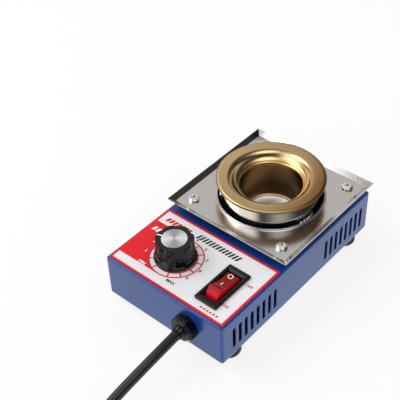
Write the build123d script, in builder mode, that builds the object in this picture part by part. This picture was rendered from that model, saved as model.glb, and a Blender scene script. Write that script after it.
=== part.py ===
from build123d import *
from math import asin, atan, cos, degrees, pi, radians, sin, sqrt, tan
import os

os.makedirs("parts", exist_ok=True)

# Solder pot: a small electric crucible for tinning wires, on a sheet-metal box with a heat dial
# and a rocker switch. Millimetres, +Z up, +X to the right, the front panel with its cord faces -Y.
# The origin is on the table, below the middle of the box and its splash tray.

# Box
cover_length = 142.0
cover_width = 87.0
cover_height = 28.0
cover_sheet = 1.0
corner_radius = 1.6
top_edge_radius = 1.2
base_sheet = 1.0
base_margin = 0.3  # the base plate stops this short of the cover's outside
vent_count = 8
vent_pitch = 5.24
vent_width = 2.65
vent_height = 15.3
vent_above_base = 5.9
vent_from_front = 10.3
vent_from_rear = 8.6

# Feet and their screws
foot_height = 5.0
foot_diameter = 16.0
foot_base_diameter = 15.8
foot_recess_diameter = 7.2
foot_recess_depth = 2.6
foot_from_side = 8.1
foot_from_end = 14.0
lip_margin = 5.0  # the folded lip reaches this far past the foot screws

# Screws: all are M3, and each clearance hole is wider by screw_clearance
screw_diameter = 3.0
screw_clearance = 0.4
thread_clearance = 0.05
pan_head_diameter = 5.6
pan_head_height = 1.8
nut_flats = 5.5
nut_height = 2.4

# Splash tray
tray_flat = 81.7
tray_sheet = 0.8
rim_reach = 3.5
rim_rise = 2.1
tray_gap = 3.6
tray_hole_radius = 32.3
collar_width = 1.9
collar_height = 1.0
tray_screw_base = (40.1, 37.8)  # the screws' spacings across and along grow from these...
tray_screw_follow = (0.3, 0.2)  # ...by these shares of the cover's width and length
tray_screw_head = 7.0
tray_screw_head_height = 1.7
tray_screw_edge = 0.6
spacer_diameter = 6.5
cross_width = 0.9
cross_length = 3.8
cross_depth = 0.9
cross_turn = 28.0

# Crucible: a flat ring, an S-shaped shoulder and a straight cup
pot_share = 0.697  # how far back the pot's centre stands, as a share of the cover's length
flange_radius = 33.2
flange_above_tray = 14.0
cup_radius = 19.0
cup_depth = 31.0
cup_floor_radius = 3.0
crucible_wall = 1.2
shoulder_radii = (5.0, 6.0, 1.5)
shoulder_turns = (60, -40, 70)

# Heater around the cup
shell_radius = 30.0
shell_hole_margin = 1.6  # the cover's hole is this much wider than the tray's
shell_sheet = 0.8
shell_above_base = 6.0
band_thickness = 2.2
band_clearance = 0.2
band_height = 20.0
band_above_floor = 1.0
band_slit = 3.0
insulation_clearance = 0.4
standoff_diameter = 8.0
standoff_circle = 18.0
shell_cable_hole = 5.0

# Panel label and its red print
label_sheet = 0.3
label_from_front = 1.7
label_from_side = 1.4
label_share = 0.36  # the label's length, as a share of the cover's
print_thickness = 0.12
border_width = 1.4
dial_radius = 16.2
dial_line = 0.75
dial_inner_radius = 12.3
dial_off_centre = 0.7  # the print sits this far to the right of the knob
dial_step = 28.8
dial_first_spoke = -68.4
dial_spokes = 12

# Heat dial: knob on a rotary control
knob_from_left = 31.9
knob_from_front = 25.0
knob_skirt_radius = 12.65
knob_skirt_height = 1.6
knob_flare_height = 0.8
knob_cone_height = 2.6
knob_radius = 11.7
knob_top_radius = 11.3
knob_height = 14.2
knob_gap = 0.6
knob_wall = 1.8
knob_roof = 4.5
flute_count = 7
flute_radius = 4.2
flute_depth = 1.7
cap_radius = 7.55
cap_thickness = 0.7
cap_sunk = 0.5
pointer_angle = 200.0
pointer_width = 0.8
pointer_thickness = 0.4
pointer_inset = 0.7
set_screw_length = 2.5
shaft_radius = 3.0
shaft_clearance = 0.05
shaft_length_inside = 3.0
bush_radius = 4.6
bush_length = 5.4
control_radius = 8.2
control_height = 8.5
control_bushing_radius = 3.5
control_bushing_height = 5.2
control_nut_flats = 10.0
control_nut_height = 2.0
control_washer_radius = 6.0
control_washer_thickness = 0.5

# Rocker switch
switch_from_right = 18.9
switch_from_front = 23.8
bezel_width = 15.3
bezel_length = 31.0
bezel_height = 2.0
switch_body_width = 13.0
switch_body_length = 28.0
switch_body_depth = 15.5
panel_clearance = 0.15
well_length = 22.6
well_width = 9.2
well_depth = 9.0
rocker_width = 7.8
rocker_radius = 10.7
rocker_ridge_angle = 44.4
rocker_valley = 6.3
rocker_keel = 2.0
rocker_tilt = 11.0
pivot_below_cover = 3.0
trunnion_radius = 1.2
trunnion_length = 0.9
terminal_width = 4.8
terminal_thickness = 0.8
terminal_length = 7.5

# Mains cord and its strain relief
cord_diameter = 6.0
cord_exit_from_left = 62.0
cord_exit_above_base = 15.0
relief_head_radius = 8.0
relief_head_length = 6.4
relief_flange_length = 1.6
relief_sides = 8
relief_bevel = 1.5
relief_nose_radius = 4.3
relief_nose_length = 2.6
relief_barrel_radius = 5.9
relief_barrel_length = 8.3
floor_gap = 0.05  # the cord lies this much above the table, so that it never dips below it
coil_from_front = 140.0
coil_x = -10.5
coil_bottom_radii = (24.0, 42.0)
coil_top_radius = 36.0
coil_height = 12.0

# Moulded mains plug at the cord's end, lying on the rim of its head
plug_lean_degrees = 10.0
plug_tail_radius = 4.6
plug_boot_radius = 6.4
plug_boot_length = 20.0
plug_grip_radius = 12.5
plug_grip_end = 40.0
plug_head_radius = 18.5
plug_head_start = 44.0
plug_length = 60.0
plug_face_recess = 1.2
plug_from_coil = (2.0, -34.0)  # the plug's tail, from the coil's upper turn and from its middle
pin_diameter = 4.8
pin_root_diameter = 4.0
pin_length = 19.0
pin_chamfer = 1.2
pin_spacing = 19.0
clip_width = 5.0
clip_thickness = 0.8
clip_length = 14.0

# Control board
board_thickness = 1.6
board_above_base = 6.0
board_from_lip = 3.0
board_from_switch = 3.0
board_from_front = 9.0
board_from_shell = 10.0
board_hole_inset = 4.0
earth_from_switch = 10.0

# Places that follow from the sizes
pot_from_front = pot_share * cover_length
tray_half = tray_flat / 2 + rim_reach
front_y = -(pot_from_front + tray_half) / 2
left_x = -cover_width / 2
base_bottom = foot_height
base_top = base_bottom + base_sheet
cover_bottom = base_top
cover_top = cover_bottom + cover_height
cover_y = front_y + cover_length / 2
label_top = cover_top + label_sheet
tray_bottom = cover_top + tray_gap
tray_top = tray_bottom + tray_sheet
pot_y = front_y + pot_from_front
flange_top = tray_top + flange_above_tray
flange_bottom = flange_top - crucible_wall
knob_x = left_x + knob_from_left
knob_y = front_y + knob_from_front
switch_x = -left_x - switch_from_right
switch_y = front_y + switch_from_front
screw_radius = screw_diameter / 2
clear_radius = screw_radius + screw_clearance / 2
tapped_radius = screw_radius + thread_clearance


def upright(x, y):
    """An upright plane through a vertical axis: its own y runs up, and its x to the right."""
    return Plane(origin=(x, y, 0), x_dir=(1, 0, 0), z_dir=(0, -1, 0))


def vertical_axis(x, y):
    return Axis((x, y, 0), (0, 0, 1))


def level(x, y, height):
    return Plane(origin=(x, y, height))


def save(piece, name):
    piece.part.label = name
    export_step(piece.part, f"parts/{name}.step")


# Feet: turned rubber buttons with a sunk screw head
foot_spots = {
    "foot_front_left": (left_x + foot_from_side, front_y + foot_from_end),
    "foot_front_right": (-left_x - foot_from_side, front_y + foot_from_end),
    "foot_rear_left": (left_x + foot_from_side, front_y + cover_length - foot_from_end),
    "foot_rear_right": (-left_x - foot_from_side, front_y + cover_length - foot_from_end),
}
for name, (foot_x, foot_y) in foot_spots.items():
    with BuildPart() as foot:
        with BuildSketch(upright(foot_x, foot_y)):
            with BuildLine():
                Polyline(
                    (clear_radius, foot_recess_depth),
                    (foot_recess_diameter / 2, foot_recess_depth),
                    (foot_recess_diameter / 2, 0),
                    (foot_base_diameter / 2, 0),
                    (foot_diameter / 2, foot_height),
                    (clear_radius, foot_height),
                    close=True,
                )
            make_face()
        revolve(axis=vertical_axis(foot_x, foot_y))
        fillet(foot.edges().group_by(Axis.Z)[0].sort_by(SortBy.LENGTH)[-1], 0.8)
    save(foot, name)

# Foot screws come up through the base plate into the cover's folded lip
foot_screw_tip = base_top + cover_sheet + 2.0
with BuildPart() as foot_screws:
    for foot_x, foot_y in foot_spots.values():
        with BuildSketch(level(foot_x, foot_y, foot_recess_depth - pan_head_height)):
            Circle(pan_head_diameter / 2)
        extrude(amount=pan_head_height)
        with BuildSketch(level(foot_x, foot_y, foot_recess_depth)):
            Circle(screw_radius)
        extrude(amount=foot_screw_tip - foot_recess_depth)
save(foot_screws, "foot_screws")

# Base plate with holes for the feet, the heater standoffs, the board and the earth screw
standoff_spots = [
    (standoff_circle * cos(radians(a)), pot_y + standoff_circle * sin(radians(a)))
    for a in (90, 210, 330)
]
lip_width = foot_from_side + lip_margin
board_left = left_x + lip_width + board_from_lip
board_right = switch_x - switch_body_width / 2 - board_from_switch
board_front = front_y + board_from_front
board_rear = pot_y - shell_radius - board_from_shell
board_length = board_right - board_left
board_width = board_rear - board_front
board_x = (board_left + board_right) / 2
board_y = (board_front + board_rear) / 2
board_spots = [
    (board_x + i * (board_length / 2 - board_hole_inset), board_y + j * (board_width / 2 - board_hole_inset))
    for i in (-1, 1)
    for j in (-1, 1)
]
earth_spot = (switch_x, switch_y + switch_body_length / 2 + earth_from_switch)
with BuildPart() as base_plate:
    with BuildSketch(level(0, cover_y, base_bottom)):
        RectangleRounded(
            cover_width - 2 * base_margin,
            cover_length - 2 * base_margin,
            corner_radius - base_margin,
        )
        with Locations([(x, y - cover_y) for x, y in foot_spots.values()]):
            Circle(clear_radius, mode=Mode.SUBTRACT)
        with Locations([(x, y - cover_y) for x, y in standoff_spots + board_spots + [earth_spot]]):
            Circle(clear_radius, mode=Mode.SUBTRACT)
    extrude(amount=base_sheet)
save(base_plate, "base_plate")

# Cover: one folded and welded sheet, open below, with a lip turned in along each long side
screws_across = tray_screw_base[0] + tray_screw_follow[0] * cover_width
screws_along = tray_screw_base[1] + tray_screw_follow[1] * cover_length
tray_screw_spots = [
    (i * screws_across / 2, pot_y + j * screws_along / 2)
    for i in (-1, 1)
    for j in (-1, 1)
]
shell_hole_radius = tray_hole_radius + shell_hole_margin
relief_x = left_x + cord_exit_from_left
relief_z = base_bottom + cord_exit_above_base
relief_plane = Plane(origin=(relief_x, front_y, relief_z), x_dir=(1, 0, 0), z_dir=(0, -1, 0))
with BuildPart() as cover:
    with BuildSketch(level(0, cover_y, cover_bottom)):
        RectangleRounded(cover_width, cover_length, corner_radius)
    extrude(amount=cover_height)
    fillet(cover.faces().sort_by(Axis.Z)[-1].edges(), top_edge_radius)
    with BuildSketch(level(0, cover_y, cover_bottom)):
        RectangleRounded(
            cover_width - 2 * cover_sheet,
            cover_length - 2 * cover_sheet,
            corner_radius - cover_sheet,
        )
    extrude(amount=cover_height - cover_sheet, mode=Mode.SUBTRACT)
    with BuildSketch(level(0, cover_y, cover_bottom)):
        with GridLocations(cover_width - lip_width, 0, 2, 1):
            Rectangle(lip_width - cover_sheet / 2, cover_length - 4 * corner_radius)
    extrude(amount=cover_sheet)
    with BuildSketch(level(0, 0, cover_bottom)):
        with Locations(list(foot_spots.values())):
            Circle(tapped_radius)
    extrude(amount=cover_sheet, mode=Mode.SUBTRACT)
    # Vents: two rows of upright slots, cut through both sides at once
    vent_z = base_bottom + vent_above_base + vent_height / 2
    vent_row = (vent_count - 1) * vent_pitch
    for row_y in (
        front_y + vent_from_front + vent_row / 2,
        front_y + cover_length - vent_from_rear - vent_row / 2,
    ):
        with BuildSketch(Plane.YZ):
            with Locations((row_y, vent_z)):
                with GridLocations(vent_pitch, 0, vent_count, 1):
                    SlotOverall(vent_height, vent_width, rotation=90)
        extrude(amount=cover_width, both=True, mode=Mode.SUBTRACT)
    # Openings in the top and the hole for the strain relief
    with BuildSketch(level(0, 0, cover_top)):
        with Locations((0, pot_y)):
            Circle(shell_hole_radius)
        with Locations(tray_screw_spots):
            Circle(clear_radius)
        with Locations((knob_x, knob_y)):
            Circle(control_bushing_radius + panel_clearance)
        with Locations((switch_x, switch_y)):
            Rectangle(switch_body_width + 2 * panel_clearance, switch_body_length + 2 * panel_clearance)
    extrude(amount=-cover_sheet, mode=Mode.SUBTRACT)
    with BuildSketch(relief_plane):
        Circle(relief_barrel_radius + panel_clearance)
    extrude(amount=-cover_sheet, mode=Mode.SUBTRACT)
save(cover, "cover")

# Splash tray: a flat sheet with mitred rims raised outwards and a drawn collar round the heater
rim_slope = atan(rim_rise / rim_reach)
rim_top = tray_top + rim_rise
rim_drop = tray_sheet / cos(rim_slope)
rim_fold = (rim_drop - tray_sheet) / tan(rim_slope)
rim_run = (rim_rise + tray_sheet) / tan(rim_slope)
with BuildPart() as splash_tray:
    with BuildSketch(level(0, pot_y, tray_bottom)):
        Rectangle(tray_flat + 2 * rim_fold, tray_flat + 2 * rim_fold)
    with BuildSketch(level(0, pot_y, rim_top)):
        Rectangle(tray_flat + 2 * (rim_fold + rim_run), tray_flat + 2 * (rim_fold + rim_run))
    loft()
    with BuildSketch(level(0, pot_y, tray_top)):
        Rectangle(tray_flat, tray_flat)
    with BuildSketch(level(0, pot_y, rim_top + rim_rise)):
        Rectangle(tray_flat + 4 * rim_reach, tray_flat + 4 * rim_reach)
    loft(mode=Mode.SUBTRACT)
    with BuildSketch(level(0, pot_y, tray_bottom)):
        Rectangle(2 * tray_half, 2 * tray_half)
    extrude(amount=rim_rise + tray_sheet, mode=Mode.INTERSECT)
    # The collar rises in a rounded lip from the flat
    with BuildSketch(upright(0, pot_y)):
        with BuildLine():
            collar_out = tray_hole_radius + collar_width
            lip_out = tray_hole_radius + tray_sheet
            foot_of_lip = (collar_out, tray_top)
            lip_shoulder = (lip_out, tray_top + collar_height * 0.75)
            Line((tray_hole_radius, tray_bottom), (tray_hole_radius, tray_top + collar_height * 0.75))
            ThreePointArc(
                (tray_hole_radius, tray_top + collar_height * 0.75),
                (tray_hole_radius + tray_sheet / 2, tray_top + collar_height),
                lip_shoulder,
            )
            TangentArc(lip_shoulder, foot_of_lip, tangent=(0, -1))
            Polyline(foot_of_lip, (collar_out, tray_bottom), (tray_hole_radius, tray_bottom))
        make_face()
    revolve(axis=vertical_axis(0, pot_y))
    with BuildSketch(level(0, pot_y, tray_bottom)):
        Circle(tray_hole_radius)
    extrude(amount=2 * collar_height + tray_sheet, mode=Mode.SUBTRACT)
    with BuildSketch(level(0, 0, tray_top)):
        with Locations(tray_screw_spots):
            Circle(clear_radius)
    extrude(amount=-tray_sheet, mode=Mode.SUBTRACT)
save(splash_tray, "splash_tray")

# Tray hardware: spacers on the cover, cross-head screws from above and nuts below the cover
with BuildPart() as tray_spacers:
    with BuildSketch(level(0, 0, cover_top)):
        with Locations(tray_screw_spots):
            Circle(spacer_diameter / 2)
            Circle(clear_radius, mode=Mode.SUBTRACT)
    extrude(amount=tray_gap)
save(tray_spacers, "tray_spacers")

nut_top = cover_top - cover_sheet
with BuildPart() as tray_nuts:
    with BuildSketch(level(0, 0, nut_top)):
        with Locations(tray_screw_spots):
            RegularPolygon(nut_flats / 2, 6, major_radius=False)
            Circle(tapped_radius, mode=Mode.SUBTRACT)
    extrude(amount=-nut_height)
save(tray_nuts, "tray_nuts")

with BuildPart() as tray_screws:
    for screw_x, screw_y in tray_screw_spots:
        with BuildSketch(upright(screw_x, screw_y)):
            with BuildLine():
                head_edge = (tray_screw_head / 2, tray_top)
                head_side = (tray_screw_head / 2, tray_top + tray_screw_edge)
                head_crown = (0, tray_top + tray_screw_head_height)
                Polyline(head_edge, head_side)
                JernArc(head_side, (0, 1), tray_screw_head_height - tray_screw_edge, 90)
                Polyline(
                    (tray_screw_head / 2 - tray_screw_head_height + tray_screw_edge, head_crown[1]),
                    head_crown,
                    (0, nut_top - nut_height - 1.0),
                    (screw_radius, nut_top - nut_height - 1.0),
                    (screw_radius, tray_top),
                    head_edge,
                )
            make_face()
        revolve(axis=vertical_axis(screw_x, screw_y))
        with BuildSketch(level(screw_x, screw_y, tray_top + tray_screw_head_height)):
            Rectangle(cross_length, cross_width, rotation=cross_turn)
            Rectangle(cross_width, cross_length, rotation=cross_turn)
        extrude(amount=-cross_depth, mode=Mode.SUBTRACT)
save(tray_screws, "tray_screws")


# Crucible: spun steel, its outside the same line as its inside, one wall further out
def crucible_line(step):
    """The pot's inner line from rim to floor centre, moved outwards by step."""
    turned = [0]
    for turn in shoulder_turns:
        turned.append(turned[-1] + turn)
    shoulder_run = sum(
        r * abs(sin(radians(a)) - sin(radians(b)))
        for r, a, b in zip(shoulder_radii, turned, turned[1:])
    )
    start = (flange_radius, flange_top - step)
    ring = Line(start, (cup_radius + shoulder_run, flange_top - step))
    drop = JernArc(ring @ 1, ring % 1, shoulder_radii[0] - step, shoulder_turns[0])
    cove = JernArc(drop @ 1, drop % 1, shoulder_radii[1] + step, shoulder_turns[1])
    lip = JernArc(cove @ 1, cove % 1, shoulder_radii[2] - step, shoulder_turns[2])
    floor_z = flange_top - cup_depth
    wall = Line(lip @ 1, ((lip @ 1).X, floor_z + cup_floor_radius))
    bend = JernArc(wall @ 1, wall % 1, cup_floor_radius + step, -90)
    floor = Line(bend @ 1, (0, floor_z - step))
    return start, floor @ 1


with BuildPart() as crucible:
    with BuildSketch(upright(0, pot_y)):
        with BuildLine():
            inner_rim, inner_floor = crucible_line(0)
            outer_rim, outer_floor = crucible_line(crucible_wall)
            Line(inner_rim, outer_rim)
            Line(inner_floor, outer_floor)
        make_face()
    revolve(axis=vertical_axis(0, pot_y))
    fillet(crucible.edges().filter_by(GeomType.CIRCLE).group_by(SortBy.LENGTH)[-1], 0.4)
save(crucible, "crucible")

# Heater: a slit mica band round the cup, mineral insulation, and a polished steel shell
cup_outside = cup_radius + crucible_wall
cup_underside = flange_top - cup_depth - crucible_wall
band_inside = cup_outside + band_clearance
band_outside = band_inside + band_thickness
band_bottom = cup_underside + cup_floor_radius + crucible_wall + band_above_floor
with BuildPart() as heater_band:
    with BuildSketch(level(0, pot_y, band_bottom)):
        Circle(band_outside)
        Circle(band_inside, mode=Mode.SUBTRACT)
        with Locations((0, -band_outside)):
            Rectangle(band_slit, 2 * band_outside - band_inside, mode=Mode.SUBTRACT)
    extrude(amount=band_height)
save(heater_band, "heater_band")

shell_bottom = base_top + shell_above_base
shell_floor = shell_bottom + shell_sheet
with BuildPart() as heater_shell:
    with BuildSketch(level(0, pot_y, shell_bottom)):
        Circle(shell_radius)
    extrude(amount=flange_bottom - shell_bottom)
    with BuildSketch(level(0, pot_y, shell_floor)):
        Circle(shell_radius - shell_sheet)
    extrude(amount=flange_bottom - shell_floor, mode=Mode.SUBTRACT)
    with BuildSketch(level(0, 0, shell_bottom)):
        with Locations((0, pot_y)):
            Circle(shell_cable_hole)
        with Locations(standoff_spots):
            Circle(clear_radius)
    extrude(amount=shell_sheet, mode=Mode.SUBTRACT)
save(heater_shell, "heater_shell")

insulation_bottom = shell_floor + nut_height + insulation_clearance
insulation_top = flange_bottom - 7.0
with BuildPart() as heater_insulation:
    with BuildSketch(level(0, pot_y, insulation_bottom)):
        Circle(shell_radius - shell_sheet - insulation_clearance)
    extrude(amount=insulation_top - insulation_bottom)
    with BuildSketch(level(0, pot_y, cup_underside - insulation_clearance)):
        Circle(band_outside + insulation_clearance)
    extrude(amount=insulation_top - cup_underside + insulation_clearance, mode=Mode.SUBTRACT)
    with BuildSketch(level(0, pot_y, insulation_bottom)):
        Circle(shell_cable_hole)
    extrude(amount=cup_underside - insulation_bottom, mode=Mode.SUBTRACT)
save(heater_insulation, "heater_insulation")

# Ceramic standoffs carry the shell above the base plate
with BuildPart() as heater_standoffs:
    with BuildSketch(level(0, 0, base_top)):
        with Locations(standoff_spots):
            Circle(standoff_diameter / 2)
            Circle(clear_radius, mode=Mode.SUBTRACT)
    extrude(amount=shell_above_base)
save(heater_standoffs, "heater_standoffs")

with BuildPart() as standoff_screws:
    with BuildSketch(level(0, 0, base_bottom)):
        with Locations(standoff_spots):
            Circle(pan_head_diameter / 2)
    extrude(amount=-pan_head_height)
    with BuildSketch(level(0, 0, base_bottom)):
        with Locations(standoff_spots):
            Circle(screw_radius)
    extrude(amount=shell_floor + nut_height - base_bottom)
save(standoff_screws, "standoff_screws")

with BuildPart() as standoff_nuts:
    with BuildSketch(level(0, 0, shell_floor)):
        with Locations(standoff_spots):
            RegularPolygon(nut_flats / 2, 6, major_radius=False)
            Circle(tapped_radius, mode=Mode.SUBTRACT)
    extrude(amount=nut_height)
save(standoff_nuts, "standoff_nuts")

# Panel label: a printed film round the dial and the switch
label_length = label_share * cover_length
label_width = cover_width - 2 * label_from_side
label_y = front_y + label_from_front + label_length / 2
with BuildPart() as panel_label:
    with BuildSketch(level(0, label_y, cover_top)):
        RectangleRounded(label_width, label_length, 0.6)
        with Locations((knob_x, knob_y - label_y)):
            Circle(control_bushing_radius + panel_clearance, mode=Mode.SUBTRACT)
        with Locations((switch_x, switch_y - label_y)):
            Rectangle(
                switch_body_width + 2 * panel_clearance,
                switch_body_length + 2 * panel_clearance,
                mode=Mode.SUBTRACT,
            )
    extrude(amount=label_sheet)
save(panel_label, "panel_label")

# Red print: the border, the field left of the dial, and the dial's rings and spokes
with BuildPart() as label_print:
    with BuildSketch(level(0, label_y, label_top)):
        RectangleRounded(label_width, label_length, 0.6)
        Rectangle(label_width - 2 * border_width, label_length - 2 * border_width, mode=Mode.SUBTRACT)
        field_left = -label_width / 2 + border_width / 2
        field_right = knob_x + dial_off_centre
        with Locations(((field_left + field_right) / 2, knob_y - label_y)):
            Rectangle(field_right - field_left, 2 * dial_radius)
        with Locations((knob_x + dial_off_centre, knob_y - label_y)):
            Circle(dial_radius)
            Circle(dial_radius - dial_line, mode=Mode.SUBTRACT)
            Circle(dial_inner_radius + dial_line / 2)
            Circle(dial_inner_radius - dial_line / 2, mode=Mode.SUBTRACT)
            spoke_mid = (dial_inner_radius + dial_radius - dial_line) / 2
            with PolarLocations(
                spoke_mid, dial_spokes, dial_first_spoke, dial_step * (dial_spokes - 1), endpoint=True
            ):
                Rectangle(dial_radius - dial_inner_radius, dial_line)
    extrude(amount=print_thickness)
save(label_print, "label_print")

# Rotary control under the panel, with its threaded bushing, washer and nut
control_top = cover_top - cover_sheet
control_bottom = control_top - control_height
shaft_bottom = control_top - shaft_length_inside
bushing_top = cover_top + control_bushing_height
with BuildPart() as heat_control:
    with BuildSketch(level(knob_x, knob_y, control_bottom)):
        Circle(control_radius)
    extrude(amount=control_height)
    with BuildSketch(level(knob_x, knob_y, control_bottom)):
        with Locations((0, -control_radius)):
            Rectangle(control_radius * 1.3, control_radius * 0.9)
    extrude(amount=1.6)
    with BuildSketch(level(knob_x, knob_y, control_top)):
        Circle(control_bushing_radius)
    extrude(amount=bushing_top - control_top)
    with BuildSketch(level(knob_x, knob_y, shaft_bottom - 0.3)):
        Circle(shaft_radius + shaft_clearance)
    extrude(amount=bushing_top - shaft_bottom + 0.3, mode=Mode.SUBTRACT)
save(heat_control, "heat_control")

with BuildPart() as control_washer:
    with BuildSketch(level(knob_x, knob_y, label_top)):
        Circle(control_washer_radius)
        Circle(control_bushing_radius + thread_clearance, mode=Mode.SUBTRACT)
    extrude(amount=control_washer_thickness)
save(control_washer, "control_washer")

control_nut_bottom = label_top + control_washer_thickness
with BuildPart() as control_nut:
    with BuildSketch(level(knob_x, knob_y, control_nut_bottom)):
        RegularPolygon(control_nut_flats / 2, 6, major_radius=False)
        Circle(control_bushing_radius + thread_clearance, mode=Mode.SUBTRACT)
    extrude(amount=control_nut_height)
save(control_nut, "control_nut")

# Knob: moulded, with a round skirt, hollow flutes and a brass bush for the shaft
knob_bottom = label_top + knob_gap
knob_top = knob_bottom + knob_height
skirt_top = knob_bottom + knob_skirt_height
flute_bottom = skirt_top + knob_flare_height
cap_bottom = knob_top - cap_sunk
knob_hollow_top = knob_top - knob_roof
bush_top = knob_hollow_top + 0.5
bush_bottom = bush_top - bush_length
shaft_top = bush_top - 0.5
set_screw_angle = radians(pointer_angle - 360 / flute_count)
flute_angle = pointer_angle + 180 / flute_count
set_screw_plane = Plane(
    origin=(knob_x, knob_y, bush_bottom + screw_radius + 0.6),
    x_dir=(0, 0, 1),
    z_dir=(cos(set_screw_angle), sin(set_screw_angle), 0),
)
with BuildPart() as knob:
    with BuildSketch(upright(knob_x, knob_y)):
        with BuildLine():
            Polyline(
                (0, knob_bottom),
                (knob_skirt_radius, knob_bottom),
                (knob_skirt_radius, skirt_top),
                (knob_radius, flute_bottom),
                (knob_top_radius, knob_top),
                (0, knob_top),
                close=True,
            )
        make_face()
    revolve(axis=vertical_axis(knob_x, knob_y))
    fillet(knob.edges().filter_by(GeomType.CIRCLE).group_by(Axis.Z)[-1], 0.6)
    fillet(knob.edges().filter_by(GeomType.CIRCLE).group_by(Axis.Z)[1], 0.5)
    # Flutes run from the flare to the top; the pointer lies on the ridge between two of them
    with BuildSketch(level(knob_x, knob_y, flute_bottom - 0.2)):
        with PolarLocations(knob_radius - flute_depth + flute_radius, flute_count, flute_angle):
            Circle(flute_radius)
    extrude(amount=knob_top - flute_bottom + 0.2, mode=Mode.SUBTRACT)
    # A cone carries the skirt up into the flutes
    with BuildSketch(upright(knob_x, knob_y)):
        with BuildLine():
            Polyline(
                (0, skirt_top - 0.2),
                (knob_skirt_radius - 0.3, skirt_top - 0.2),
                (knob_radius - flute_depth - 0.1, skirt_top + knob_cone_height),
                (0, skirt_top + knob_cone_height),
                close=True,
            )
        make_face()
    revolve(axis=vertical_axis(knob_x, knob_y))
    # Hollow underside round the control's nut, and the bush's seat
    with BuildSketch(level(knob_x, knob_y, knob_bottom)):
        Circle(knob_radius - flute_depth - knob_wall)
    extrude(amount=bush_bottom - knob_bottom, mode=Mode.SUBTRACT)
    with BuildSketch(level(knob_x, knob_y, knob_bottom)):
        Circle(bush_radius)
    extrude(amount=bush_top - knob_bottom, mode=Mode.SUBTRACT)
    with BuildSketch(set_screw_plane):
        Circle(clear_radius)
    extrude(amount=knob_radius, mode=Mode.SUBTRACT)
    with BuildSketch(level(knob_x, knob_y, cap_bottom)):
        Circle(cap_radius)
    extrude(amount=cap_sunk, mode=Mode.SUBTRACT)
    pointer_end = knob_top_radius - pointer_inset
    pointer_start = cap_radius - 0.5
    pointer_mid = (pointer_start + pointer_end) / 2
    pointer_length = pointer_end - pointer_start
    with BuildSketch(level(knob_x, knob_y, knob_top - pointer_thickness)):
        with PolarLocations(pointer_mid, 1, pointer_angle):
            Rectangle(pointer_length, pointer_width)
    extrude(amount=pointer_thickness, mode=Mode.SUBTRACT)
save(knob, "knob")

with BuildPart() as knob_pointer:
    with BuildSketch(level(knob_x, knob_y, knob_top - pointer_thickness)):
        with PolarLocations(pointer_mid, 1, pointer_angle):
            Rectangle(pointer_length, pointer_width)
        Circle(cap_radius, mode=Mode.SUBTRACT)
    extrude(amount=pointer_thickness)
save(knob_pointer, "knob_pointer")

with BuildPart() as knob_cap:
    with BuildSketch(level(knob_x, knob_y, cap_bottom)):
        Circle(cap_radius)
    extrude(amount=cap_thickness)
    fillet(knob_cap.edges().group_by(Axis.Z)[-1], 0.2)
save(knob_cap, "knob_cap")

with BuildPart() as knob_bush:
    with BuildSketch(level(knob_x, knob_y, bush_bottom)):
        Circle(bush_radius)
        Circle(shaft_radius + shaft_clearance, mode=Mode.SUBTRACT)
    extrude(amount=bush_length)
    with BuildSketch(set_screw_plane):
        Circle(tapped_radius)
    extrude(amount=bush_radius + 1.0, mode=Mode.SUBTRACT)
save(knob_bush, "knob_bush")

with BuildPart() as knob_set_screw:
    with BuildSketch(set_screw_plane.offset(shaft_radius + shaft_clearance)):
        Circle(screw_radius)
    extrude(amount=set_screw_length)
    with BuildSketch(set_screw_plane.offset(shaft_radius + shaft_clearance + set_screw_length)):
        Rectangle(0.6, screw_diameter)
    extrude(amount=-0.8, mode=Mode.SUBTRACT)
save(knob_set_screw, "knob_set_screw")

with BuildPart() as control_shaft:
    with BuildSketch(level(knob_x, knob_y, shaft_bottom)):
        Circle(shaft_radius)
    extrude(amount=shaft_top - shaft_bottom)
save(control_shaft, "control_shaft")

# Rocker switch: a framed housing snapped into the panel, with a well for the rocker
bezel_top = label_top + bezel_height
pivot_z = cover_top - pivot_below_cover
well_bottom = bezel_top - well_depth - bezel_height
with BuildPart() as switch_housing:
    with BuildSketch(level(switch_x, switch_y, label_top)):
        RectangleRounded(bezel_width, bezel_length, 0.6)
    extrude(amount=bezel_height)
    chamfer(switch_housing.faces().sort_by(Axis.Z)[-1].edges(), 0.5)
    with BuildSketch(level(switch_x, switch_y, label_top)):
        Rectangle(switch_body_width, switch_body_length)
    extrude(amount=-switch_body_depth)
    # The frame slopes down to the well on all four sides
    with BuildSketch(level(switch_x, switch_y, bezel_top - 0.9)):
        Rectangle(well_width, well_length)
    with BuildSketch(level(switch_x, switch_y, bezel_top)):
        Rectangle(well_width + 2.6, well_length + 3.0)
    loft(mode=Mode.SUBTRACT)
    with BuildSketch(level(switch_x, switch_y, well_bottom)):
        Rectangle(well_width, well_length)
    extrude(amount=bezel_top - well_bottom, mode=Mode.SUBTRACT)
    with BuildSketch(Plane(origin=(switch_x, switch_y, pivot_z), x_dir=(0, 1, 0), z_dir=(1, 0, 0))):
        Circle(trunnion_radius + shaft_clearance)
    extrude(
        amount=rocker_width / 2 + trunnion_length + 0.3,
        both=True,
        mode=Mode.SUBTRACT,
    )
save(switch_housing, "switch_housing")

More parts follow.
